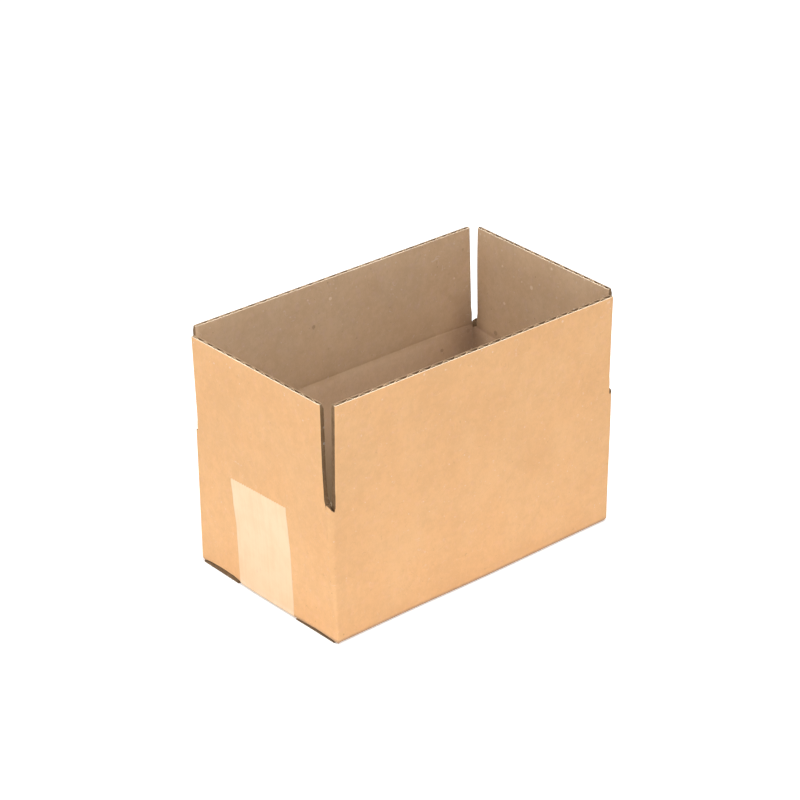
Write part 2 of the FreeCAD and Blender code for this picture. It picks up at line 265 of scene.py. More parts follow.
SCORE = {
    "front": (0.30, 3.0, 2.0),
    "back": (0.48, 4.0, 4.2),
    "left": (0.30, 3.0, 2.0),
    "right": (0.40, 4.0, 3.0),
}
GROOVE = {
    "front": [(0, 83.4)],
    "back": [(-100, 82.2), (-82, 83.3), (-66, 83.6), (100, 83.4)],
    "left": [(0, 80.0)],
    "right": [(40, 79.8), (57, 82.2)],
}


def score(side, across, up):
    """Depth of the crease that was pressed inside: deepest on a sharp line, and fading up and down."""
    depth, above, below = SCORE[side]
    high = up - along(GROOVE[side], across)
    return depth * math.exp(-high / above if high > 0 else high / below)


FOOT_LINE = {
    "left": [(-59, 0.3), (-53, 0.8), (-41, 1.2), (-30, 0.8), (-24, 0.5), (21, 0.5), (24, 1.7), (28, 2.4),
             (38, 2.6), (48, 2.1), (59, 0.4)],
    "right": [(-59, 0.6), (-34, 1.5), (-22, 0.8), (22, 0.8), (34, 1.6), (59, 0.6)],
}
print("grooves inside the walls at", {side: line[0][1] for side, line in GROOVE.items()}, "mm")


def foot(side, across):
    """Height of a short wall's lower fold: held down by the tape, and sprung up beside it."""
    return along(FOOT_LINE[side], -across if side == "left" else across)

# %% [markdown]
# The knife didn't cut quite square. Some flap ends are set in a little more than others, and the top
# edges lie a millimetre or two higher or lower, or fall towards one end.

# %% How the flaps were cut
def cut_in(side, sign, high):
    """How much further in than the others a flap's end is, at a height above its crease."""
    if side == "left" and sign > 0:
        return along([(0, 0.1), (9, 1.8), (25, 2.1), (61, 1.5)], high)
    if side == "right" and sign > 0:
        return between(3.2, 1.8, ease(high / 50))
    if side == "right" and sign < 0:
        return 1.2 * ease(high / 50)
    return 0.0


FALL = {"front": (0.0, 0.0), "back": (-1.3, -1.4), "left": (1.8, 0.0), "right": (-1.3, -2.0)}


def top_fall(side, share, high):
    """How far a flap's cut edge lies too low, or too high if less than 0, from share -1 to share 1."""
    drop = between(FALL[side][0], FALL[side][1], (share + 1) / 2)
    return drop * high / FLAP[side]


print("the right flap's far end is set in by", round(cut_in("right", 1, 0), 1), "mm at its crease")

# %% [markdown]
# A long wall, its bottom flap and its top flap are one piece. The rows follow the sheet from the seam
# under the carton, round the fold, up the wall, across the crease and up the flap. The first and last
# columns turn round the upright corner folds. Rows lie close only where the board bends or its edge
# is pressed: at the fold, under the crease and at the top. Elsewhere a few are enough.

# %% Rows and columns
def spread(low, high, count):
    return [between(low, high, n / count) for n in range(count)]


def flat_columns(count, edge_steps):
    """Shares from -1 to 1 along a wall, closer together near both ends."""
    steps = [1 - e for e in edge_steps]
    inner = steps[-1]
    middle = [between(-inner, inner, n / count) for n in range(1, count)]
    return [-s for s in steps] + middle + steps[::-1]


def top_rows(side):
    """The rows of a flap above the height where its waves are seen."""
    top = FLAP[side]
    rows = spread(FLUTES_FROM, top - 4.0, 16) + spread(top - 4.0, top - 0.6, 5) + [top - 0.6, top]
    return [("flap", v) for v in rows]


SEAM = 58.5  # reach of an outer bottom flap from its wall's face
TAPED = 35.0  # from here on to the seam the tape covers it


def long_rows(side):
    """The rows of a long wall: what part a row is in, and how far along it."""
    rows = [("bottom", v) for v in spread(SEAM, 35.2, 5) + [35.2, 34.6] + spread(33.6, 3.4, 7) + [3.4]]
    rows += [("fold", v) for v in spread(90.0, 0.0, 8)]
    rows += [("wall", v) for v in spread(LONG_FOLD, 76.0, 22) + spread(76.0, SLOT_FROM, 12)]
    rows += [("wall", v) for v in spread(SLOT_FROM, CREASE[side], 11)]
    rows += [("flap", v) for v in spread(0.0, 4.0, 16) + spread(4.0, FLUTES_FROM, 4)]
    return rows + top_rows(side)


ENDS = (0.0, 0.003, 0.006, 0.010, 0.016, 0.03, 0.05)
LONG_COLUMNS = flat_columns(40, ENDS)
TURN = [n / 10 for n in range(1, 11)] + [1.02]
print("a long wall has", len(LONG_COLUMNS) + 2 * len(TURN), "columns of points")

# %% [markdown]
# Where the layers lie. Three layers have four surfaces: the skin, its back, the lining's back and the
# lining. The knife came from one side of each flap: it pressed that side's paper in and left the other
# one crisp. The crisp rim is the one that faces the light. It is pale, partly painted highlight, and
# the rim on the pressed side is dark, partly painted shade, so two of the four flaps have a pale rim
# outside and two inside. The ends of a flap are pinched as well. It could be done with sculpting, but
# a depth for each surface is exact.

# %% Depth of each layer
CRUSHED = {"front": 0.4, "left": 1.0, "back": 0.7, "right": 0.7}
CRUSHED_FROM = {"front": "inside", "left": "inside", "back": "outside", "right": "outside"}
# the rim facing the light is pale, partly painted highlight; the rim on the far side is dark, partly
# painted shade
FROM_INSIDE, FROM_OUTSIDE = (BRIGHT, INSIDE, INSIDE), (PRESSED_PAINTED_SHADE, INSIDE, BRIGHT)
TOP_RIM = {side: FROM_INSIDE if way == "inside" else FROM_OUTSIDE for side, way in CRUSHED_FROM.items()}


def crush(side, value, k):
    """How far a layer is pushed over the last three millimetres of a flap, where the knife pressed it."""
    share = ease((value - FLAP[side] + 3.2) / 3.0)
    if CRUSHED_FROM[side] == "inside":
        return -CRUSHED[side] * share if k >= 2 else 0.0
    return CRUSHED[side] * share if k < 2 else 0.0


def layer_depths(pinch):
    """Depths of the four surfaces: skin, its back, the lining's back and the lining."""
    return (0.34 * pinch, LINER + 0.42 * pinch, BOARD - LINER - 0.75 * pinch, BOARD - 0.55 * pinch)


def lining_depth(side, across, up):
    """Depth of a wall's or flap's inside, with the crease pressed into it."""
    return BOARD - score(side, across, up)


def wall_depth(side, across, up, k):
    layer = layer_depths(0.0)[k]
    depth = layer if k < 2 else lining_depth(side, across, up) - (BOARD - layer)
    return depth - bow(side, across, up)


def leaning(side, deep, high):
    """Depth and height of a point of a flap's own board, as the flap leans outwards about its crease."""
    lean = math.radians(LEAN[side])
    return (
        deep * math.cos(lean) - high * math.sin(lean),
        CREASE[side] + deep * math.sin(lean) + high * math.cos(lean),
    )


def flap_section(side, across, share, value, k, edge):
    """Depth and height of layer k on a flap, `edge` millimetres from the flap's nearer end."""
    pinch = ease(1 - edge / PINCHED) * ease((value - 5) / 4)
    depth = layer_depths(pinch)[k] + crush(side, value, k)
    if k >= 2:
        depth += lining_depth(side, across, CREASE[side] + value) - BOARD
    high = value - top_fall(side, share, value)
    return leaning(side, depth - flap_bow(side, across, high), high)


print("depths of the surfaces:", [round(depth, 2) for depth in layer_depths(0.0)], "mm")

# %% [markdown]
# Long panels. Each is one mesh from the seam under the carton to the top of its flap, so there is no
# gap at the crease. The slots between the flaps are cut with a slant, deeper on the long walls' side.

# %% The flat part of a long panel
HALF_WALL = HALF_X - CORNER
HALF_LONG = HALF_X - INSET
HALF_BOTTOM = HALF_X - 0.2
UNDER_TAPE = 2.2  # how far the bottom flaps are cut back under the tape


def long_half(part, value):
    """Half the width of a long panel on one of its rows."""
    if part == "bottom":
        return HALF_BOTTOM - (UNDER_TAPE if value > TAPED else 0.0)
    if part == "fold":
        return HALF_WALL
    if part == "wall":
        return between(HALF_WALL, HALF_LONG, ease((value - SLOT_FROM) / 0.6))
    return HALF_LONG


def bottom_section(side, value, across, k):
    """An outer bottom flap lies on the floor. Its ends are squeezed thin under the short walls' folds."""
    under = "right" if (across > 0) == (side == "front") else "left"
    way = value - HALF_Y if side == "front" else HALF_Y - value
    low = foot(under, way if under == "right" else -way) - 0.12
    thin = between(1.0, max(low, 0.2) / BOARD, ease((abs(across) - 91.5) / 4.5))
    bed = 0.1 if k == 0 and value > TAPED else 0.0
    return value, layer_depths(0.0)[k] * thin + bed


def long_section(side, part, value, across, k):
    """Depth and height of layer k on a row of the flat part."""
    if part == "bottom":
        return bottom_section(side, value, across, k)
    if part == "fold":
        layer = layer_depths(0.0)[k]
        angle = math.radians(90 - value)
        middle, radius = LONG_FOLD, LONG_FOLD - layer
        if k >= 2:
            middle, radius = BOARD + INNER_FOLD, INNER_FOLD + (BOARD - layer)
        return middle - radius * math.sin(angle), middle - radius * math.cos(angle)
    if part == "wall":
        height = value + 0.8 * (1 - value / 12) if k >= 2 and value < 12 else value
        return wall_depth(side, across, value, k), height
    return flap_section(side, across, across / HALF_LONG, value, k, HALF_LONG - abs(across))


print("a long wall is", round(2 * HALF_WALL, 1), "mm wide between its corner folds")

# %% The corner columns of a long panel
SLOT_ENDS = {
    ("front", "left"): (79.8, 83.6),
    ("front", "right"): (81.4, 82.7),
    ("back", "right"): (81.2, 85.2),
    ("back", "left"): (81.4, 82.7),
}
NEAR_TURN = 1.3  # the sharper corner fold between the front and left walls, at its foot
PLAIN = (12, 70)  # between these heights the corner's rows are level


def neighbour(side, share):
    """The short wall that a corner column turns to, and its own `across` there."""
    if side == "front":
        return ("left", HALF_Y) if share < 0 else ("right", -HALF_Y)
    return ("right", HALF_Y) if share < 0 else ("left", -HALF_Y)


def corner_height(side, part, value, share, phase):
    """How far a row of the corner lies inside the wall's face, and its height."""
    other, other_across = neighbour(side, share)
    low = between(0.0, foot(other, math.copysign(HALF_Y - CORNER - 0.15, other_across)), phase)
    fold = between(LONG_FOLD, SHORT_FOLD, phase)
    if part == "fold":
        angle = math.radians(90 - value)
        return fold * (1 - math.sin(angle)), low + fold * (1 - math.cos(angle))
    if value < PLAIN[0]:
        return 0.0, between(low + fold, PLAIN[0], (value - LONG_FOLD) / (PLAIN[0] - LONG_FOLD))
    if value > PLAIN[1]:
        top = between(*SLOT_ENDS[side, other], ease(phase))
        return 0.0, between(PLAIN[1], top, (value - PLAIN[1]) / (SLOT_FROM - PLAIN[1]))
    return 0.0, value


def corner_point(side, part, value, share, k):
    """A point of layer k on a corner fold. Shares run on past 1: the fold turns from 1 to 2."""
    phase = min(abs(share) - 1, 1.0)
    inset, up = corner_height(side, part, value, share, phase)
    turn = CORNER
    if side == "front" and share < 0:
        turn = between(NEAR_TURN, CORNER, ease(value / 70)) if part == "wall" else NEAR_TURN
    layer = layer_depths(0.0)[k]
    if k < 2:
        turn = max(turn, layer + 0.1)
        middle = (HALF_X - turn, turn)
        radius = max(turn - layer - inset, 0.1)
    else:
        middle = (HALF_WALL - 0.3, BOARD + 0.3)
        radius = 0.3 + (BOARD - layer)
        up = max(up, 3.3 + 0.5 * (up / 8)) if up < 8 else up
    angle = math.radians(90 * phase)
    across = math.copysign(1, share) * (middle[0] + radius * math.sin(angle))
    last = abs(share) > 2.01
    deep = INSET + 0.05 if last else middle[1] - radius * math.cos(angle)
    return stand(side, across, deep, up)


print("slots end at", SLOT_ENDS["front", "left"], "mm in the near corner")

# %% Front and back panels
def make_long_panel(side):
    rows = long_rows(side)
    columns = [-1 - t for t in reversed(TURN)] + LONG_COLUMNS + [1 + t for t in TURN]
    first_fold = next(i for i, row in enumerate(rows) if row[0] == "fold")
    slot_row = rows.index(("wall", SLOT_FROM))
    open_row = rows.index(("flap", FLUTES_FROM))
    first_end, last_end = len(TURN), len(columns) - 2 - len(TURN)

    def at_corner(j):
        return j < first_end or j > last_end

    def full(k, i, j):
        if at_corner(j) and not first_fold <= i < slot_row:
            return False
        return not (k == 1 and i >= open_row and j not in (first_end, last_end))

    def place(k, i, j):
        part, value = rows[i]
        share = columns[j]
        if abs(share) > 1:
            return corner_point(side, part, value, share, k)
        across = share * long_half(part, value)
        deep, up = long_section(side, part, value, across, k)
        return stand(side, across, deep, up)

    mesh = board_mesh(side + "_panel", len(rows), len(columns), full, place, TOP_RIM[side], at_corner)
    return soft_piece(mesh)


panels = {side: make_long_panel(side) for side in ("front", "back")}
for side, panel in panels.items():
    print(side, "panel has", len(panel.data.polygons), "faces")

# %% [markdown]
# Short panels. A short wall turns inwards a little above the floor, because its bottom flap lies on
# the two outer ones. That inner bottom flap ends inside the carton with open waves. It has rows of
# its own, `inner`, and a short slope, `sink`, that brings it down to the fold.

# %% Rows and sections of a short panel
HALF_SHORT = HALF_Y - INSET
INNER_TURN = FLAP_BED + BOARD + INNER_FOLD  # height of the middle of a short wall's inner fold
LOW_FLUTES_FROM = 44.0  # from here on an inner bottom flap's waves are open
SLOPE = (8.0, 2.2)  # where the slope down to the fold starts and ends, from the wall's face


def short_rows(side):
    rows = [("inner", v) for v in [58.0, 57.5] + spread(57.0, LOW_FLUTES_FROM, 4)]
    rows += [("inner", v) for v in spread(LOW_FLUTES_FROM, SLOPE[0], 8)]
    rows += [("sink", v) for v in spread(SLOPE[0], SLOPE[1], 8)]
    rows += [("fold", v) for v in spread(90.0, 0.0, 8)]
    rows += [("wall", v) for v in spread(0.0, 6.0, 4) + spread(6.0, 72.0, 18)]
    rows += [("wall", v) for v in spread(72.0, CREASE[side], 18)]
    rows += [("flap", v) for v in spread(0.0, FLUTES_FROM, 24)]
    return rows + top_rows(side)


def short_section(side, part, value, across, k, share):
    """Depth and height of layer k on a row of a short panel."""
    low = foot(side, across)
    layer = layer_depths(0.0)[k]
    edge = HALF_SHORT * (1 - abs(share))
    if part == "inner":
        return value, FLAP_BED + layer_depths(ease(1 - edge / PINCHED))[k]
    if part == "sink":
        drop = ease((SLOPE[0] - value) / (SLOPE[0] - SLOPE[1])) * (FLAP_BED - low)
        return value, FLAP_BED - (drop if k < 2 else 0.0) + layer
    if part == "fold":
        angle = math.radians(90 - value)
        if k < 2:
            radius = SHORT_FOLD - layer
            return SHORT_FOLD - radius * math.sin(angle), low + SHORT_FOLD - radius * math.cos(angle)
        radius = INNER_FOLD + BOARD - layer
        return BOARD + INNER_FOLD - radius * math.sin(angle), INNER_TURN - radius * math.cos(angle)
    if part == "wall":
        start = low + SHORT_FOLD if k < 2 else INNER_TURN
        up = between(start, CREASE[side], value / CREASE[side])
        return wall_depth(side, across, up, k), up
    return flap_section(side, across, share, value, k, edge)


print("a left panel has", len(short_rows("left")), "rows")

# %% Left and right panels
def make_short_panel(side):
    rows = short_rows(side)
    columns = flat_columns(26, ENDS)
    open_row = rows.index(("flap", FLUTES_FROM))
    shut_row = rows.index(("inner", LOW_FLUTES_FROM))

    def full(k, i, j):
        end = j in (0, len(columns) - 2)
        return not (k == 1 and (i >= open_row or i < shut_row) and not end)

    def place(k, i, j):
        part, value = rows[i]
        share = columns[j]
        half = HALF_SHORT
        if part == "flap":
            half -= cut_in(side, math.copysign(1, share), value) * ease(value / 1.5)
        across = share * half
        deep, up = short_section(side, part, value, across, k, share)
        return stand(side, across, deep, up)

    mesh = board_mesh(side + "_panel", len(rows), len(columns), full, place, TOP_RIM[side])
    return soft_piece(mesh)


for side in ("left", "right"):
    panels[side] = make_short_panel(side)
    print(side, "panel has", len(panels[side].data.polygons), "faces")

# %% [markdown]
# Node trees, for shapes and for finishes, could be wired by hand, one node and one link at a time.
# They read far better as sums. A small class wraps an output socket: arithmetic on it adds Math
# nodes, and any other node comes from `add_node`.

# %% Node helpers
def add_node(tree, kind, settings=None, inputs=None, out=0):
    """Adds a node: its settings first, then the values or links of its sockets."""
    node = tree.nodes.new(kind)
    for name, value in (settings or {}).items():
        setattr(node, name, value)
    for name, value in (inputs or {}).items():
        socket = node.inputs[name]
        if isinstance(value, Flow):
            tree.links.new(value.socket, socket)
        else:
            socket.default_value = value
    return Flow(node.outputs[out])


class Flow:
    """An output socket. Sums and products of flows add Math nodes to their tree."""

    def __init__(self, socket):
        self.socket = socket
        self.tree = socket.id_data

    def other(self, name):
        """Another output of the same node."""
        return Flow(self.socket.node.outputs[name])

    def math(self, operation, first, second=0.0):
        return add_node(self.tree, "ShaderNodeMath", {"operation": operation}, {0: first, 1: second})

    def __add__(self, other):
        return self.math("ADD", self, other)

    __radd__ = __add__

    def __sub__(self, other):
        return self.math("SUBTRACT", self, other)

    def __rsub__(self, other):
        return self.math("SUBTRACT", other, self)

    def __mul__(self, other):
        return self.math("MULTIPLY", self, other)

    __rmul__ = __mul__

    def size(self):
        """The value without its sign."""
        return self.math("ABSOLUTE", self)

    def smooth(self, low, high):
        """0 below low and 1 above high, with soft ends. Low may be the larger."""
        settings = {"interpolation_type": "SMOOTHSTEP"}
        inputs = {0: self, 1: low, 2: high, 3: 0.0, 4: 1.0}
        return add_node(self.tree, "ShaderNodeMapRange", settings, inputs)


def mix_colour(share, first, second, blend="MIX"):
    """Mixes two colours by a share, or by a blend such as MULTIPLY."""
    settings = {"data_type": "RGBA", "blend_type": blend}
    return add_node(share.tree, "ShaderNodeMix", settings, {0: share, 6: first, 7: second}, out=2)


print("node helpers ready:", ", ".join(word for word in dir(Flow) if not word.startswith("_")))

# %% [markdown]
# Kraft paper. Up close it is never one colour: it has soft clouds, short pale fibres, a few dark
# flecks, and a fine grain that breaks up the light. A photograph of paper could give that, but its
# light would be baked in and it would blur up close, so layers of noise make it here.
# Patterns are placed by `sheet_spot`, the place of each point when the flaps stand, so they move with
# the board.

# %% Patterns on paper
def paper_spot(tree, attribute):
    """The place on the paper, in millimetres."""
    if attribute:
        place = add_node(tree, "ShaderNodeAttribute", {"attribute_name": attribute}, out=1)
    else:
        place = add_node(tree, "ShaderNodeTexCoord", out=3)
    return add_node(tree, "ShaderNodeVectorMath", {"operation": "SCALE"}, {0: place, 3: 1000.0})


def axis_of(spot, number):
    """One coordinate of a place: 0 along the carton, 1 across it, 2 up."""
    return add_node(spot.tree, "ShaderNodeSeparateXYZ", None, {0: spot}, out=number)


def moved(spot, shift, stretch=(1, 1, 1)):
    return add_node(spot.tree, "ShaderNodeMapping", None, {0: spot, 1: shift, 3: stretch})


def grain(spot, size, detail=2.0, shift=(0, 0, 0), stretch=(1, 1, 1)):
    """Noise about 0.5, with features of about the given size in millimetres."""
    inputs = {"Vector": moved(spot, shift, stretch), "Scale": 1.0 / size, "Detail": detail}
    return add_node(spot.tree, "ShaderNodeTexNoise", None, inputs)


def flecks(spot, cell, share, size, shift):
    """Small specks, one in some of the cells, each with its own size."""
    inputs = {"Vector": moved(spot, shift), "Scale": 1.0 / cell}
    distance = add_node(spot.tree, "ShaderNodeTexVoronoi", None, inputs)
    lot = add_node(spot.tree, "ShaderNodeSeparateColor", None, {0: distance.other("Color")})
    chosen = lot.smooth(1 - share, 1 - share + 0.02)
    reach = lot.other("Green") * (size / cell) + 0.35 * size / cell
    spread_out = distance + grain(spot, 0.5, 1.0) * (0.5 * size / cell) - 0.25 * size / cell
    inside = (reach - spread_out) * (cell / size * 3.0)
    return chosen * inside.smooth(0.0, 1.0)


def hairs(spot, size, width, shift):
    """Thin curved fibres: where a smooth noise crosses its middle value."""
    line = (grain(spot, size, 0.0, shift) - 0.5).size()
    gate = grain(spot, size * 0.7, 0.0, (shift[0] + 31, shift[1], shift[2])).smooth(0.60, 0.66)
    return line.smooth(width, width * 0.3) * gate


print("patterns:", ", ".join(pattern.__name__ for pattern in (grain, flecks, hairs)))

# %% [markdown]
# Painted light and shade. The outside is painted paler towards the floor, for the light the floor throws
# up, and darker along its foot, as a painted contact shadow. The inside is painted darker low down, in
# its corners and beside its creases, and paler just below them, for its shade and light. It also has a
# few large flecks of its own. They could be painted on by hand, but here each belongs to one paper, so it
# is a function that a paper may be given. Heights and places are in the carton's own millimetres, which
# keeps a fold's painted shade on the fold.

# %% Painted shading outside, and flecks and painted shading inside
def tinted_below(spot, colour, high, low, tint):
    """Multiplies a colour by a tint: not at all above one height, and fully below another."""
    return mix_colour(axis_of(spot, 2).smooth(high, low), colour, (*tint, 1), "MULTIPLY")


def outside_painted_shading(spot, colour):
    """Painted light and shade: walls a little paler towards the floor, and a painted contact shadow along
    the lower fold.
    """
    # painted light: paler towards the floor, for the light the floor throws up
    colour = tinted_below(spot, colour, 75.0, 5.0, (1.04, 1.045, 1.05))
    # painted shade: a darker line along the foot, where the fold meets the floor
    painted_contact_shade = axis_of(spot, 2).smooth(3.6, 1.8) * (grain(spot, 5.0, 2.0, (8, 8, 1)) * 0.4 + 0.75)
    return mix_colour(painted_contact_shade, colour, (0.64, 0.68, 0.82, 1), "MULTIPLY")


def inside_flecks_and_painted_shading(spot, colour):
    """Painted light just below the creases, painted shade low down, in the upright corners and near the
    long walls' ends, and a few large flecks.
    """
    # painted light: paler just below the creases
    colour = tinted_below(spot, colour, 84.0, 79.5, (1.13, 1.15, 1.20))
    # painted shade: darker towards the bottom
    colour = tinted_below(spot, colour, 66.0, 2.0, (0.60, 0.66, 0.68))
    # painted shade: darker in the upright corners, most of all below the flaps
    fold = axis_of(spot, 0).size().smooth(HALF_X - 29.0, HALF_X - 2.5)
    fold = fold * axis_of(spot, 1).size().smooth(HALF_Y - 20.0, HALF_Y - 2.5)
    fold = fold * axis_of(spot, 2).smooth(120.0, 81.0)
    colour = mix_colour(fold, colour, (0.65, 0.61, 0.60, 1), "MULTIPLY")
    # painted shade: darker near the long walls' ends, just below the creases
    shade = axis_of(spot, 0).size().smooth(HALF_X - 50.0, HALF_X - 20.0)
    shade = shade * axis_of(spot, 2).smooth(84.0, 81.0)
    colour = mix_colour(shade, colour, (0.86, 0.84, 0.83, 1), "MULTIPLY")
    marks = flecks(spot, 10.0, 0.6, 1.5, (3, 44, 8)) * 0.45
    colour = mix_colour(marks, colour, (0.24, 0.155, 0.095, 1))
    chips = flecks(spot, 13.0, 0.5, 1.3, (30, 4, 61)) * 0.55
    return mix_colour(chips, colour, (0.84, 0.68, 0.52, 1))


print("marks:", outside_painted_shading.__name__, "and", inside_flecks_and_painted_shading.__name__)

# %% [markdown]
# The papers of the sheet: the orange outside, the grey-brown inside, the pale cut edges, partly painted
# highlight, the pressed cut edges, partly painted shade, the core's hollows in painted shade, and the dark
# cut ends, partly painted shade. Each could have a node tree of its own, but they are one kind of paper
# in other tones, so one recipe makes them all.

# %% One recipe for every paper
def new_finish(name, attribute):
    """A material to fill in: with its shader, and the place on its surface."""
    material = bpy.data.materials.new(name)
    material.use_nodes = True
    tree = material.node_tree
    return material, tree.nodes["Principled BSDF"], paper_spot(tree, attribute)


def fill_shader(shader, colour, rough, height, gloss):
    """Links what changes over the surface, and sets the gloss, which is the same all over."""
    tree = shader.id_data
    relief = {"Strength": 0.25, "Distance": 0.0002, "Height": height}
    bump = add_node(tree, "ShaderNodeBump", None, relief)
    for name, flow in (("Base Color", colour), ("Roughness", rough), ("Normal", bump)):
        tree.links.new(flow.socket, shader.inputs[name])
    shader.inputs["Specular IOR Level"].default_value = gloss


def kraft(name, tones, contrast=1.0, glint=0.45, attribute="sheet_spot", marks=None):
    """A paper in three tones: base, light and dark. `marks` adds what only this paper carries: flecks of
    its own, and its painted light and shade.
    """
    base, light, dark = tones
    material, shader, spot = new_finish(name, attribute)
    clouds = grain(spot, 38.0, 3.0) * 0.5 + grain(spot, 9.0, 3.0, (40, 7, 19)) * 0.3
    mottle = grain(spot, 3.4, 2.0, (14, 3, 77)) * 0.36
    fine = grain(spot, 0.9, 2.0, (3, 60, 2), (1, 1, 0.6)) * 0.34
    tone = (clouds + mottle + fine - 0.75) * contrast
    colour = mix_colour(tone.smooth(-0.2, 0.2), (*dark, 1), (*light, 1))
    hue = grain(spot, 24.0, 2.0, (9, 90, 4)).smooth(0.38, 0.62) * 0.6
    colour = mix_colour(hue, colour, (1.0, 0.965, 0.93, 1), "MULTIPLY")
    # marks: this paper's own flecks, and its painted light and shade
    if marks:
        colour = marks(spot, colour)
    pink = grain(spot, 3.8, 1.0, (2, 17, 55)).smooth(0.56, 0.72) * 0.45
    colour = mix_colour(pink, colour, (1.01, 1.0, 1.13, 1), "MULTIPLY")
    bright = tuple(min(0.97, b + 0.42 * (0.97 - b)) for b in light) + (1,)
    shine = flecks(spot, 3.6, 0.22, 0.66, (5, 3, 8)) * glint
    strand = hairs(spot, 4.2, 0.012, (12, 50, 33)) * 0.30
    colour = mix_colour(shine.math("MAXIMUM", shine, strand), colour, bright)
    deep = tuple(c * f for c, f in zip(base, (0.52, 0.44, 0.40))) + (1,)
    soil = flecks(spot, 4.6, 0.20, 0.50, (81, 42, 17)) * 0.42
    dim = hairs(spot, 5.1, 0.010, (70, 5, 90)) * 0.24
    colour = mix_colour(soil.math("MAXIMUM", soil, dim), colour, deep)
    rough = grain(spot, 0.8, 2.0, (6, 6, 60)) * 0.16 + 0.76
    height = grain(spot, 0.55, 3.0, (50, 1, 7)) * 0.6 + grain(spot, 5.0, 2.0, (8, 33, 5)) * 1.2
    fill_shader(shader, colour, rough, height, 0.25)
    return material


def shades(base, spread_by):
    """A base colour with the lighter and darker ones that its clouds reach."""
    lighter = tuple(min(0.97, c * (1 + spread_by)) for c in base)
    darker = tuple(c * (1 - spread_by * f) for c, f in zip(base, (0.8, 1.0, 1.2)))
    return base, lighter, darker


print("a middle grey's lightest clouds:", round(shades((0.5, 0.5, 0.5), 0.1)[1][0], 2))

# %% The six papers of the sheet
outer_kraft = kraft("outer_kraft", shades((0.785, 0.463, 0.227), 0.055), marks=outside_painted_shading)
inner_kraft = kraft("inner_kraft", shades((0.563, 0.404, 0.262), 0.075), glint=0.26, marks=inside_flecks_and_painted_shading)
# pale cut edges: partly the liners' crisp cut, partly painted highlight
bright_edge_painted_highlight = kraft("bright_edge_painted_highlight", shades((0.86, 0.72, 0.55), 0.12))
# painted shade: a dark paper for the hollows between the liners, where shade falls
core_painted_shade = kraft("core_painted_shade", shades((0.34, 0.235, 0.145), 0.25))
# pressed cut edges: partly the pressed paper, partly painted shade
pressed_edge_painted_shade = kraft("pressed_edge_painted_shade", shades((0.45, 0.36, 0.28), 0.22), 1.5)
# the cut ends: dark partly from their open waves, and partly painted shade
cut_end_painted_shade = kraft("cut_end_painted_shade", shades((0.19, 0.12, 0.062), 0.22), 1.5)
PAPERS = (outer_kraft, inner_kraft, bright_edge_painted_highlight, core_painted_shade, pressed_edge_painted_shade, cut_end_painted_shade)
print("finishes:", ", ".join(paper.name for paper in PAPERS))

# %% Give the panels their papers
for panel in panels.values():
    for paper in PAPERS:
        panel.data.materials.append(paper)
print("papers on each panel:", len(PAPERS))

# %% [markdown]
# The wavy paper between the liners. It repeats once every 7.9 mm, so Geometry Nodes make it: one wave
# is shaped from a small grid, set out along a line of points, joined, and given its thickness. A bent
# curve with a bevel could do the same, but its cut edge couldn't be made ragged so easily. The same
# tree serves every flap and both inner bottom flaps, with other sizes.

# %% Named inputs of the tree
WAVE_INPUTS = {
    "Int": {"Waves": 10, "Seed": 1},
    "Float": {"Pitch": PITCH * MM, "Height": 0.05, "Swing": 0.001, "Thickness": MEDIUM * MM,
              "Ragged": 0.0002, "Crushed": 0.0, "Shift": 0.0, "Fall Low": 0.0, "Fall High": 0.0},
    "Vector": {"Place": (0, 0, 0), "Turn": (0, 0, 0)},
    "Material": {"Paper": None},
}


def named_inputs(tree, starts):
    """Adds a tree's inputs and its output, and gives the inputs back by name."""
    for kind, values in starts.items():
        for name, value in values.items():
            socket = tree.interface.new_socket(name, in_out="INPUT", socket_type="NodeSocket" + kind)
            socket.default_value = value
    tree.interface.new_socket("Geometry", in_out="OUTPUT", socket_type="NodeSocketGeometry")
    given = tree.nodes.new("NodeGroupInput")
    return {name: Flow(given.outputs[name]) for values in starts.values() for name in values}


print("inputs:", ", ".join(name for values in WAVE_INPUTS.values() for name in values))

# %% One wave, and a row of them
def one_wave(tree, given):
    """A grid one pitch long, bent into a sine. Near its top the knife has pressed it flatter."""
    pitch, height = given["Pitch"], given["Height"]
    grid = add_node(tree, "GeometryNodeMeshGrid", None, {0: pitch, 1: height, 2: 17, 3: 28})
    spot = add_node(tree, "GeometryNodeInputPosition")
    parts = add_node(tree, "ShaderNodeSeparateXYZ", None, {0: spot})
    turns = parts.math("DIVIDE", parts, pitch) * (2 * math.pi)
    at_top = parts.other("Y").smooth(height * 0.5 - 0.0032, height * 0.5)
    swing = given["Swing"] - at_top * given["Crushed"] * 0.5
    rise = turns.math("SINE", turns) * swing + at_top * given["Shift"]
    shift = add_node(tree, "ShaderNodeCombineXYZ", None, {2: rise})
    return add_node(tree, "GeometryNodeSetPosition", None, {0: grid, 3: shift})


def row_of_waves(tree, given, wave):
    """Copies of one wave along a line of points, joined into one sheet."""
    pitch, count = given["Pitch"], given["Waves"]
    step = add_node(tree, "ShaderNodeCombineXYZ", None, {0: pitch})
    first = add_node(tree, "ShaderNodeCombineXYZ", None, {0: (count - 1) * pitch * -0.5})
    spacing = {"Count": count, "Start Location": first, "Offset": step}
    line = add_node(tree, "GeometryNodeMeshLine", None, spacing)
    copies = add_node(tree, "GeometryNodeInstanceOnPoints", None, {"Points": line, "Instance": wave})
    real = add_node(tree, "GeometryNodeRealizeInstances", None, {0: copies})
    return add_node(tree, "GeometryNodeMergeByDistance", None, {0: real, "Distance": 0.00002})


print("one wave is", PITCH, "mm long")

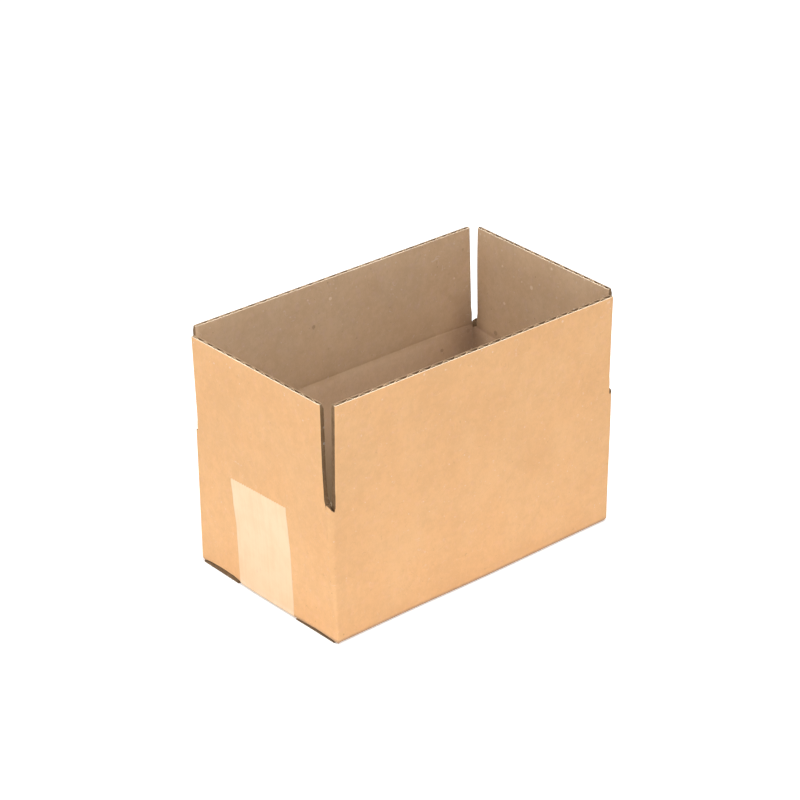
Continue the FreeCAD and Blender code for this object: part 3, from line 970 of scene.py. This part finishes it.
# %% The cut edge and the thickness
def with_cut_edge(tree, given, sheet):
    """Frays the sheet's cut edge, and lets it rise or fall with its flap's own edge."""
    height, low, high = given["Height"], given["Fall Low"], given["Fall High"]
    here = add_node(tree, "GeometryNodeInputPosition")
    parts = add_node(tree, "ShaderNodeSeparateXYZ", None, {0: here})
    up = parts.other("Y")
    fray = {"Vector": here, "W": given["Seed"], "Scale": 900.0}
    torn = add_node(tree, "ShaderNodeTexNoise", {"noise_dimensions": "4D"}, fray)
    at_edge = up.math("GREATER_THAN", up, height * 0.49)
    drop = (torn - 0.6) * given["Ragged"] * at_edge * 2.0
    far = parts.math("DIVIDE", parts, given["Waves"] * given["Pitch"]) + 0.5
    fall = (low + (high - low) * far) * (up.math("DIVIDE", up, height) + 0.5)
    tug = add_node(tree, "ShaderNodeCombineXYZ", None, {1: drop - fall})
    return add_node(tree, "GeometryNodeSetPosition", None, {0: sheet, 3: tug})


def thickened(tree, sheet, thickness):
    """A closed sheet: moved down by half its thickness, pushed up by the whole, and closed below."""
    half_down = {0: add_node(tree, "GeometryNodeInputNormal"), 3: thickness * -0.5}
    inward = add_node(tree, "ShaderNodeVectorMath", {"operation": "SCALE"}, half_down)
    lowered = add_node(tree, "GeometryNodeSetPosition", None, {0: sheet, 3: inward})
    whole_up = {"Mesh": lowered, "Offset Scale": thickness, "Individual": False}
    thick = add_node(tree, "GeometryNodeExtrudeMesh", None, whole_up)
    under = add_node(tree, "GeometryNodeFlipFaces", None, {0: lowered})
    both = tree.nodes.new("GeometryNodeJoinGeometry")
    for part in (under, thick):
        tree.links.new(part.socket, both.inputs[0])
    seams = {0: Flow(both.outputs[0]), "Distance": 0.00001}
    return add_node(tree, "GeometryNodeMergeByDistance", None, seams)


print("the wavy paper is", MEDIUM, "mm thick")

# %% The whole tree
def wave_tree():
    tree = bpy.data.node_groups.new("wavy_paper", "GeometryNodeTree")
    given = named_inputs(tree, WAVE_INPUTS)
    sheet = row_of_waves(tree, given, one_wave(tree, given))
    closed = thickened(tree, with_cut_edge(tree, given, sheet), given["Thickness"])
    stand_up = {"Geometry": closed, "Translation": given["Place"], "Rotation": given["Turn"]}
    stood = add_node(tree, "GeometryNodeTransform", None, stand_up)
    last = add_node(tree, "GeometryNodeRealizeInstances", None, {0: stood})
    done = add_node(tree, "GeometryNodeSetMaterial", None, {"Geometry": last, "Material": given["Paper"]})
    result = tree.nodes.new("NodeGroupOutput")
    tree.links.new(done.socket, result.inputs[0])
    return tree


def grow(tree, name, values):
    """Runs a tree on an empty object and keeps the result as a plain mesh."""
    holder = bpy.data.objects.new(name + "_holder", bpy.data.meshes.new(name + "_start"))
    bpy.context.scene.collection.objects.link(holder)
    modifier = holder.modifiers.new("tree", "NODES")
    modifier.node_group = tree
    sockets = [item for item in tree.interface.items_tree if item.item_type == "SOCKET"]
    keys = {item.name: item.identifier for item in sockets if item.in_out == "INPUT"}
    for label, value in values.items():
        modifier[keys[label]] = value
    bpy.context.view_layer.update()
    ready = holder.evaluated_get(bpy.context.evaluated_depsgraph_get())
    mesh = bpy.data.meshes.new_from_object(ready)
    mesh.name = name
    holder.modifiers.remove(modifier)
    bpy.data.objects.remove(holder)
    return mesh


wavy_paper = wave_tree()
medium_kraft = kraft("medium_kraft", shades((0.50, 0.35, 0.215), 0.16), 1.4, attribute="")
print("the wavy paper's tree has", len(wavy_paper.nodes), "nodes")

# %% [markdown]
# One wavy sheet goes into each flap. It stops just short of the liners' cut edge and of both ends,
# where the knife crushed it, and leans with its flap.

# %% Wavy paper in the flaps
SWING = (BOARD - 2 * LINER - MEDIUM) / 2 * MM
END_GAP = 0.7  # how far the waves stop short of a flap's ends


def facing(side):
    """The turn that takes a sheet lying on the floor, waves along X, up into a wall."""
    about = {"front": 0, "back": 180, "left": -90, "right": 90}[side]
    upright = Matrix.Rotation(math.radians(90 + LEAN[side]), 3, "X")
    return Matrix.Rotation(math.radians(about), 3, "Z") @ upright


def make_wavy(side):
    low_cut, high_cut = [max(cut_in(side, sign, high) for high in (6, 30, 60)) for sign in (-1, 1)]
    start = low_cut + INSET + END_GAP - REACH[side]
    end = REACH[side] - INSET - END_GAP - high_cut
    count = int((end - start) // PITCH)
    low, high = FLUTES_FROM + 0.2, FLAP[side] - 0.12
    centre = stand(side, (start + end) / 2, *leaning(side, BOARD / 2, (low + high) / 2))
    values = {
        "Waves": count, "Seed": len(side), "Pitch": (end - start) / count * MM, "Height": (high - low) * MM,
        "Swing": SWING, "Thickness": MEDIUM * MM, "Ragged": 0.0003, "Crushed": CRUSHED[side] * MM,
        "Shift": CRUSHED[side] / 2 * MM * (1 if CRUSHED_FROM[side] == "inside" else -1),
        "Fall Low": FALL[side][0] * MM, "Fall High": FALL[side][1] * MM,
        "Place": centre, "Turn": facing(side).to_euler(), "Paper": medium_kraft,
    }
    mesh = grow(wavy_paper, side + "_waves", values)
    return soft_piece(mesh, 50.0)


waves = {side: make_wavy(side) for side in panels}
for side, sheet in waves.items():
    print(sheet.name, "has", len(sheet.data.polygons), "faces")

# %% [markdown]
# The same tree fills the open ends of the two inner bottom flaps, which lie inside on the floor.

# %% Wavy paper in the inner bottom flaps
def make_low_wavy(side):
    span = REACH[side] - INSET
    count = int((2 * span - 1.0) // PITCH)
    near, far = LOW_FLUTES_FROM + 0.05, 57.85
    values = {
        "Waves": count, "Seed": 40 + len(side), "Pitch": 2 * (span - END_GAP) / count * MM,
        "Height": (far - near) * MM, "Swing": SWING, "Thickness": MEDIUM * MM, "Ragged": 0.0003,
        "Crushed": 0.0, "Place": stand(side, 0, (near + far) / 2, FLAP_BED + BOARD / 2),
        "Turn": (0.0, 0.0, math.radians(-90 if side == "left" else 90)), "Paper": medium_kraft,
    }
    mesh = grow(wavy_paper, side + "_low_waves", values)
    return soft_piece(mesh, 50.0)


low_waves = {side: make_low_wavy(side) for side in ("left", "right")}
for side, sheet in low_waves.items():
    print(sheet.name, "has", len(sheet.data.polygons), "faces")

# %% [markdown]
# The tape is a thin pale film, pressed over the seam and 63 to 68 mm up each short wall. It was torn
# off against a row of teeth, so its ends are a zigzag, and it drifts to one side on its way up. A
# shrinkwrapped strip would slide over the lower fold, so its columns are worked out instead: down
# one wall, round its fold, under the carton and up the other wall. The film is a closed sheet.

# %% Tape
TAPE_HALF = 24.0
TAPE_UP = 63.0
TAPE_UNDER = 8.0
NEAR_EDGE = [(0, 0.5), (24, 0.3), (37, 0.4), (49, 1.3), (63, 2.7)]
FAR_EDGE = [(0, -1.6), (16, -1.2), (33, -0.6), (51, 1.5), (63, 3.0)]
FILM = 0.08


def tape_side(side, across):
    """Points down a short wall and under its fold: each with the way out and the tape's own place."""
    sign = -1.0 if side == "left" else 1.0
    tooth = 0.9 * abs((across + 0.3) / 2.0 % 1.0 - 0.5) * 2 + 0.3 * noise.noise(Vector((across, 5, 0)))
    share = across / TAPE_HALF / 2 + 0.5
    top = between(67.9, 65.7, share) if side == "left" else TAPE_UP
    steps = []

    def add(deep, up, out, down):
        drift = between(along(NEAR_EDGE, up), along(FAR_EDGE, up), share) if side == "left" else 0.0
        y = across + drift
        local = sign * y
        low = foot(side, local) * ease(1 - max(deep - SHORT_FOLD, 0.0) / (TAPE_UNDER - SHORT_FOLD))
        base = between(0.09, 0.0, ease(low / 0.3)) + low
        lift, outward = up + base, 0.0
        if deep == 0.0:
            lift = between(base + SHORT_FOLD, top - tooth, up / TAPE_UP)
            outward = bow(side, local, lift)
        spot = racked(Vector((sign * (HALF_X - deep + outward), y, lift)))
        steps.append((spot, Vector((sign * out, 0, -down)), Vector((spot.x, across, lift))))

    for n in range(27):
        add(0.0, TAPE_UP * (1 - n / 26), 1.0, 0.0)
    for n in range(1, 9):
        angle = math.radians(90 * n / 8)
        out, down = math.cos(angle), math.sin(angle)
        add(SHORT_FOLD * (1 - out), SHORT_FOLD * (1 - down), out, down)
    for n in range(1, 7):
        add(between(SHORT_FOLD, TAPE_UNDER, n / 6), 0.0, 0.0, 1.0)
    return steps


def tape_column(across):
    """One column of the tape, from its left end down, under the carton and up to its right end."""
    left, right = tape_side("left", across), tape_side("right", across)[::-1]
    filler = []
    for n in range(1, 24):
        spot = left[-1][0].lerp(right[0][0], n / 24)
        filler.append((spot, Vector((0, 0, -1)), Vector((spot.x, across, 0))))
    return left + filler + right


def make_tape():
    shape = bmesh.new()
    layer = shape.verts.layers.float_vector.new("tape_spot")
    outer, inner = [], []
    for c in range(97):
        outer_line, inner_line = [], []
        for spot, out, own in tape_column(between(-TAPE_HALF, TAPE_HALF, c / 96)):
            wrinkle = 0.02 * noise.noise(spot * 0.35)
            far = spot + out * (FILM + wrinkle)
            far.z = max(far.z, 0.001)
            near = spot - out * 0.004
            for place, line in ((far, outer_line), (near, inner_line)):
                vert = shape.verts.new(place * MM)
                vert[layer] = own * MM
                line.append(vert)
        outer.append(outer_line)
        inner.append(inner_line)
    columns, steps = len(outer), len(outer[0])
    for c in range(columns - 1):
        for s in range(steps - 1):
            shape.faces.new((outer[c][s], outer[c][s + 1], outer[c + 1][s + 1], outer[c + 1][s]))
            shape.faces.new((inner[c][s], inner[c + 1][s], inner[c + 1][s + 1], inner[c][s + 1]))
        for s in (0, steps - 1):
            ring = (outer[c][s], outer[c + 1][s], inner[c + 1][s], inner[c][s])
            shape.faces.new(ring if s == 0 else ring[::-1])
    for s in range(steps - 1):
        shape.faces.new((outer[0][s], inner[0][s], inner[0][s + 1], outer[0][s + 1]))
        shape.faces.new((outer[-1][s], outer[-1][s + 1], inner[-1][s + 1], inner[-1][s]))
    bmesh.ops.recalc_face_normals(shape, faces=shape.faces)
    mesh = bpy.data.meshes.new("tape")
    shape.to_mesh(mesh)
    shape.free()
    return soft_piece(mesh, 50.0)


tape = make_tape()
print("tape has", len(tape.data.polygons), "faces")

# %% [markdown]
# Tape finish. The film is clear enough to let the paper's orange through, and its glue makes it pale
# and a little glossy. Real transparency would cost much light and add nothing here, so one opaque
# layer has the mixed colour, with streaks along the strip, a smear, and a painted contact shadow as a
# dull line at the floor.

# %% Tape finish
def film(name):
    material, shader, spot = new_finish(name, "tape_spot")
    sideways, up = axis_of(spot, 1), axis_of(spot, 2)
    clouds = grain(spot, 14.0, 3.0) * 0.5 + grain(spot, 3.0, 2.0, (9, 40, 3)) * 0.2
    streaks = grain(spot, 1.6, 2.0, (9, 40, 3), (0, 1, 0.03)) * 0.3
    tone = (clouds + streaks).smooth(0.38, 0.62)
    colour = mix_colour(tone, (0.855, 0.618, 0.378, 1), (0.90, 0.672, 0.432, 1))
    smear = grain(spot, 2.6, 2.0, (20, 8, 50), (1, 1, 0.4)).smooth(0.5, 0.7)
    smear = smear * (sideways - 6.0).size().smooth(3.2, 1.0)
    smear = smear * (up - 16.0).size().smooth(7.0, 2.0) * 0.5
    colour = mix_colour(smear, colour, (0.60, 0.46, 0.32, 1))
    colour = mix_colour(up.smooth(62.0, 8.0), colour, (0.99, 0.945, 0.925, 1), "MULTIPLY")
    low_band = up.smooth(6.0, 2.4) * grain(spot, 5.0, 1.0, (0, 30, 9)).smooth(0.35, 0.6) * 0.5
    colour = mix_colour(low_band, colour, (0.95, 0.71, 0.52, 1))
    # painted shadow: a dull grey line where the tape meets the floor
    colour = mix_colour(up.smooth(2.1, 1.4) * 0.85, colour, (0.60, 0.59, 0.60, 1), "MULTIPLY")
    rim = sideways.size().smooth(23.5, 23.9) * 0.45
    colour = mix_colour(rim, colour, (0.66, 0.45, 0.25, 1))
    rough = grain(spot, 6.0, 2.0) * 0.2 + 0.36
    height = grain(spot, 3.0, 2.0, (4, 4, 4), (1, 1, 0.4))
    fill_shader(shader, colour, rough, height, 0.35)
    return material


tape_film = film("tape_film")
tape.data.materials.append(tape_film)
print("finish:", tape_film.name)

# %% [markdown]
# The glued tab holds the sheet's two ends together inside one corner. It is the same board pressed
# thinner, with slanted ends. It shows only when one looks in from behind, and `board_mesh` makes it
# as well, with every cell full.

# %% Glued tab
TAB_WIDTH, TAB_THICK, TAB_SLANT = 32.0, 2.4, 5.0
TAB_HEIGHTS = (8.1, 75.9)


def make_tab():
    columns, rows = 14, 22
    start, end = HALF_X - BOARD + 0.2, HALF_X - BOARD - TAB_WIDTH
    low, high = TAB_HEIGHTS

    def full(k, i, j):
        return True

    def place(k, i, j):
        share = j / (columns - 1)
        x = between(end, start, share)
        slant = TAB_SLANT * (1 - share)
        up = between(low + slant, high - slant, i / (rows - 1))
        edge = min(x - end, 4.0) / 4.0
        rim = min(up - low - slant, high - slant - up, 3.0) / 3.0
        thick = TAB_THICK * (0.72 + 0.28 * ease(min(edge, rim)))
        front = BOARD - 0.05 - bow("front", x, up)
        return stand("front", x, front + (thick + 0.05) * k / 3, up)

    mesh = board_mesh("glued_tab", rows, columns, full, place)
    return soft_piece(mesh)


glued_tab = make_tab()
for paper in PAPERS:
    glued_tab.data.materials.append(paper)
print("glued tab has", len(glued_tab.data.polygons), "faces")

# %% [markdown]
# The wavy sheets move with their flaps, and the low waves, the tape and the glued tab with the carton.
# A panel could be cut in two at its crease, but then the cut would show. Here each panel is only baked
# into place, points just below and above its crease are worked out, and the plain flap and box are hidden.

# %% Bodies
BEND = 1.1  # how far above and below its crease those two points lie
for side, panel in panels.items():
    flap = side + "_flap"
    below, above = [stand(side, 0, 0, CREASE[side] + step) for step in (-BEND, BEND)]
    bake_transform(panel)
    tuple(below)
    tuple(above)
    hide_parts(flap, "box_body")
    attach(waves[side], flap)
for sheet in low_waves.values():
    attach(sheet, "carton")
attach(tape, "carton")
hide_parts("bottom_tape")
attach(glued_tab, "carton")
print("pieces on their bodies:", 2 * len(panels) + len(low_waves) + 2)

# %% [markdown]
# The studio: a white floor that keeps the carton's soft shadow, a bright surround and three lamps: one
# overhead, a weak one far to the left and a wide one in front. The floor could be made white with more
# light, but that would bleach the carton too, so it glows a little for the camera alone.

# %% Floor
def background_ray(tree):
    """1 for what the camera sees, also mirrored or through glass, and 0 for light on its way."""
    path = add_node(tree, "ShaderNodeLightPath")
    seen = path.math("MAXIMUM", path, path.other("Is Glossy Ray"))
    return seen.math("MAXIMUM", seen, path.other("Is Transmission Ray"))


def make_floor():
    mesh = bpy.data.meshes.new("floor")
    size = 6.0
    corners = [(-size, -size, 0), (size, -size, 0), (size, size, 0), (-size, size, 0)]
    mesh.from_pydata(corners, [], [(0, 1, 2, 3)])
    floor = show(mesh)
    material = bpy.data.materials.new("studio_floor")
    material.use_nodes = True
    tree = material.node_tree
    shader = tree.nodes["Principled BSDF"]
    shader.inputs["Base Color"].default_value = (0.94, 0.94, 0.94, 1)
    shader.inputs["Roughness"].default_value = 1.0
    shader.inputs["Specular IOR Level"].default_value = 0.0
    strength = background_ray(tree) * 0.42
    glow = add_node(tree, "ShaderNodeEmission", None, {"Color": (1, 1, 1, 1), "Strength": strength})
    both = add_node(tree, "ShaderNodeAddShader", None, {0: Flow(shader.outputs[0]), 1: glow})
    tree.links.new(both.socket, tree.nodes["Material Output"].inputs[0])
    mesh.materials.append(material)
    return floor


floor = make_floor()
print("floor:", floor.name)

# %% Surround
def make_surround(strength):
    world = bpy.data.worlds.new("surround")
    bpy.context.scene.world = world
    world.use_nodes = True
    tree = world.node_tree
    back = tree.nodes["Background"]
    level = background_ray(tree) * (1.0 - strength) + strength
    tree.links.new(level.socket, back.inputs["Strength"])
    back.inputs["Color"].default_value = (1, 1, 1, 1)
    return world


surround = make_surround(0.60)
print("surround:", surround.name)

# %% Lamps
def make_lamp(name, place, aim, size, power):
    lamp = bpy.data.lights.new(name, "AREA")
    lamp.shape = "DISK"
    lamp.size = size
    lamp.energy = power
    thing = bpy.data.objects.new(name, lamp)
    thing.location = place
    thing.rotation_euler = (Vector(aim) - Vector(place)).to_track_quat("-Z", "Y").to_euler()
    bpy.context.scene.collection.objects.link(thing)
    return thing


lamps = [
    make_lamp("top_lamp", (-0.06, -0.06, 0.70), (0, 0, 0), 0.5, 3.5),
    make_lamp("side_lamp", (-1.5, -0.25, 0.13), (0, 0, 0.05), 0.3, 4.6),
    make_lamp("front_lamp", (-0.35, -1.15, 1.45), (0, 0, 0.06), 0.9, 5.4),
]
print("lamps:", ", ".join(lamp.name for lamp in lamps))

# %% [markdown]
# The camera stands where the photograph was taken. It could be placed by eye, but the outline would be
# some pixels off. Its angles, its distance, how far it stands to the side and above, in millimetres,
# and its pinhole length, in pixels of an 800 pixel picture, were found by fitting the carton's own
# corners, seen through a pinhole, to the same corners in the photograph.

# %% Camera
AZIMUTH, ELEVATION, ROLL = math.radians(-39.71), math.radians(27.64), math.radians(-0.748)
AWAY, SHIFT_RIGHT, SHIFT_UP = 1583.9, 4.33, -78.15
PINHOLE, PICTURE, SENSOR = 2820.4, 800.0, 36.0


def make_camera():
    back = Vector((math.sin(AZIMUTH) * math.cos(ELEVATION), -math.cos(AZIMUTH) * math.cos(ELEVATION),
                   math.sin(ELEVATION)))
    level = Vector((math.cos(AZIMUTH), math.sin(AZIMUTH), 0))
    upright = back.cross(level)
    right = level * math.cos(ROLL) + upright * math.sin(ROLL)
    up = upright * math.cos(ROLL) - level * math.sin(ROLL)
    spot = (right * -SHIFT_RIGHT + up * -SHIFT_UP + back * AWAY) * MM
    camera = bpy.data.objects.new("camera", bpy.data.cameras.new("camera"))
    turn = Matrix((right, up, back)).transposed().to_4x4()
    camera.matrix_world = Matrix.Translation(spot) @ turn
    camera.data.sensor_width = SENSOR
    camera.data.lens = PINHOLE * SENSOR / PICTURE
    camera.data.clip_end = 20.0
    bpy.context.scene.collection.objects.link(camera)
    bpy.context.scene.camera = camera
    return camera


camera = make_camera()
bpy.context.scene.view_settings.view_transform = "Standard"
print("camera at", camera.location, "lens", round(camera.data.lens, 1), "mm")

# %% [markdown]
